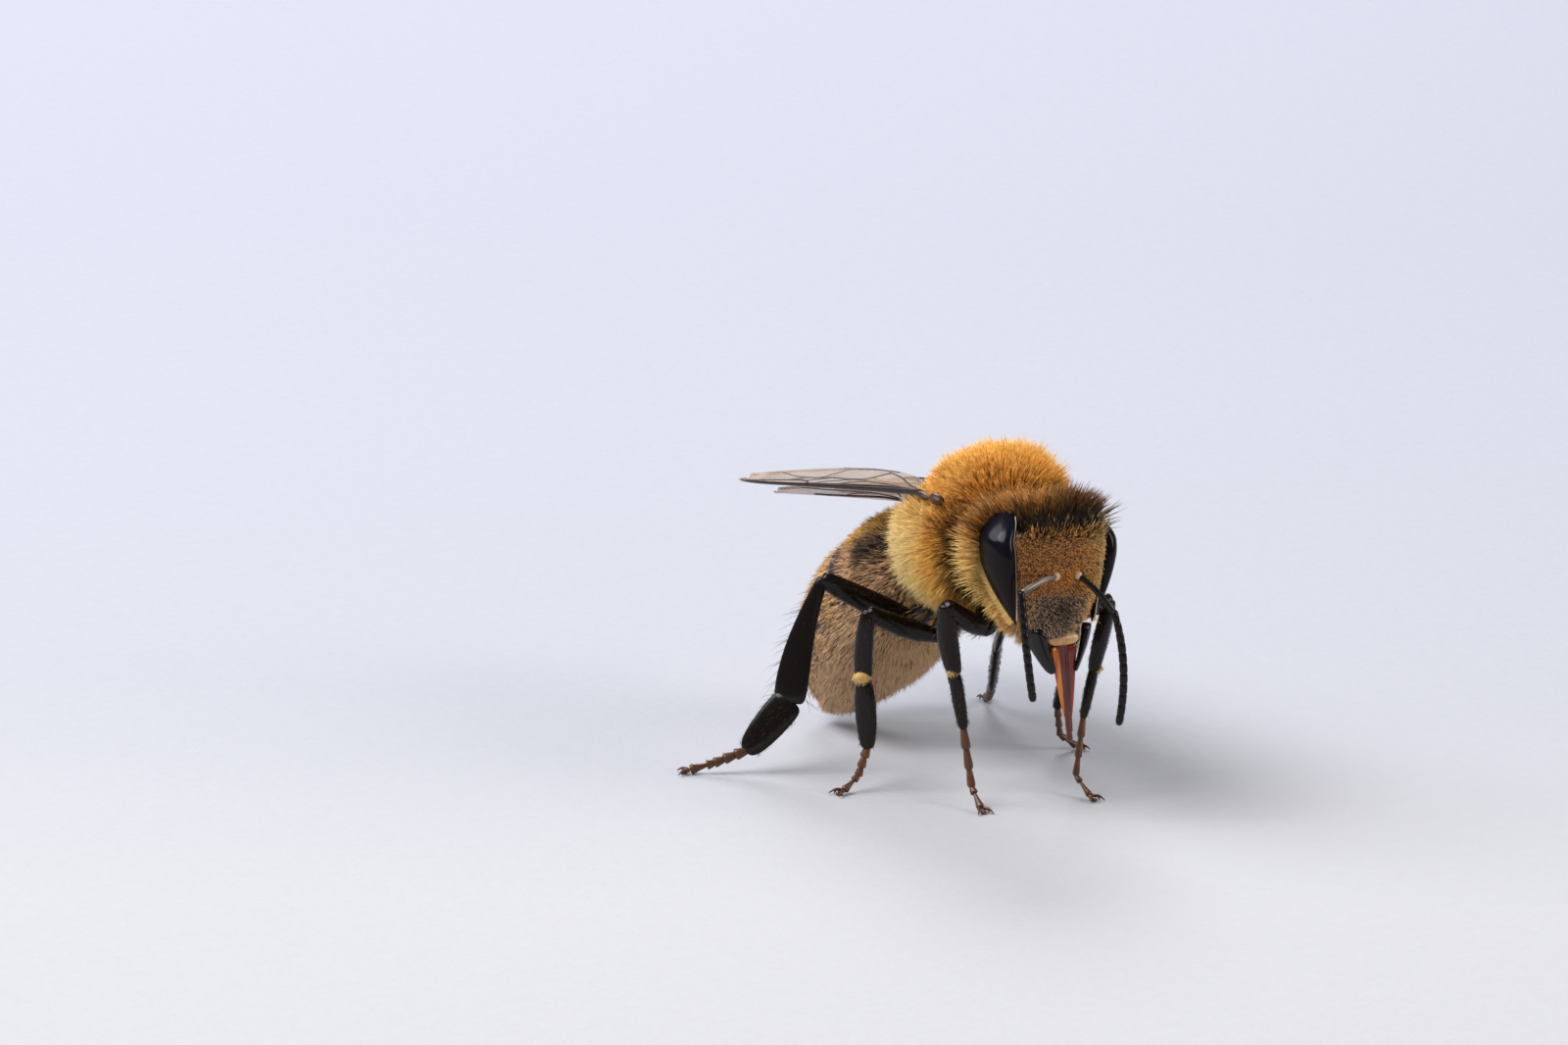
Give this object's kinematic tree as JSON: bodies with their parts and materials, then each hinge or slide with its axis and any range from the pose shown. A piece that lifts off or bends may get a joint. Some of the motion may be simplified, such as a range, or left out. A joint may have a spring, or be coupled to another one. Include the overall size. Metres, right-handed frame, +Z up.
{
  "type": "honey bee",
  "caption": "Life-size honey bee worker standing on six feet, wings folded, abdomen drooping, feelers and tongue lowered to feed.",
  "frame": {"origin": "the point of the floor under the middle of the bee's bounding box", "axes": "+Z up, the head faces -Y, the bee's left side is +X"},
  "size_m": [0.0106, 0.0146, 0.009],
  "materials": {
    "golden_coat": "dense golden ochre hair, brown near the neck",
    "face_coat": "short brown and golden hair over dark shell",
    "compound_eye": "glossy black with a violet blue sheen and fine facets",
    "amber_plate": "amber plates with dark rear bands and pale hair",
    "brown_plate": "dark brown plates with bands of pale hair",
    "black_shell": "glossy black brown shell with short hairs",
    "red_mouthparts": "glossy orange red",
    "wing_film": "clear brownish film with brown veins"
  },
  "bodies": {
    "root": {"abdomen_1": "amber_plate", "abdomen_2": "amber_plate", "abdomen_3": "brown_plate", "abdomen_4": "brown_plate", "abdomen_5": "brown_plate", "abdomen_6": "brown_plate", "basitarsus_fore_left": "black_shell", "basitarsus_fore_right": "black_shell", "basitarsus_hind_left": "black_shell", "basitarsus_hind_right": "black_shell", "basitarsus_middle_left": "black_shell", "basitarsus_middle_right": "black_shell", "coxa_fore_left": "black_shell", "coxa_fore_right": "black_shell", "coxa_hind_left": "black_shell", "coxa_hind_right": "black_shell", "coxa_middle_left": "black_shell", "coxa_middle_right": "black_shell", "eye_left": "compound_eye", "eye_right": "compound_eye", "femur_fore_left": "black_shell", "femur_fore_right": "black_shell", "femur_hind_left": "black_shell", "femur_hind_right": "black_shell", "femur_middle_left": "black_shell", "femur_middle_right": "black_shell", "flagellum_left": "black_shell", "flagellum_right": "black_shell", "forewing_left": "wing_film", "forewing_right": "wing_film", "head": "face_coat", "hindwing_left": "wing_film", "hindwing_right": "wing_film", "labrum": "black_shell", "mandible_left": "black_shell", "mandible_right": "black_shell", "neck": "golden_coat", "petiole": "brown_plate", "proboscis": "red_mouthparts", "scape_left": "black_shell", "scape_right": "black_shell", "tarsus_fore_left": "black_shell", "tarsus_fore_right": "black_shell", "tarsus_hind_left": "black_shell", "tarsus_hind_right": "black_shell", "tarsus_middle_left": "black_shell", "tarsus_middle_right": "black_shell", "thorax": "golden_coat", "tibia_fore_left": "black_shell", "tibia_fore_right": "black_shell", "tibia_hind_left": "black_shell", "tibia_hind_right": "black_shell", "tibia_middle_left": "black_shell", "tibia_middle_right": "black_shell", "tongue": "red_mouthparts"}
  },
  "joints": []
}
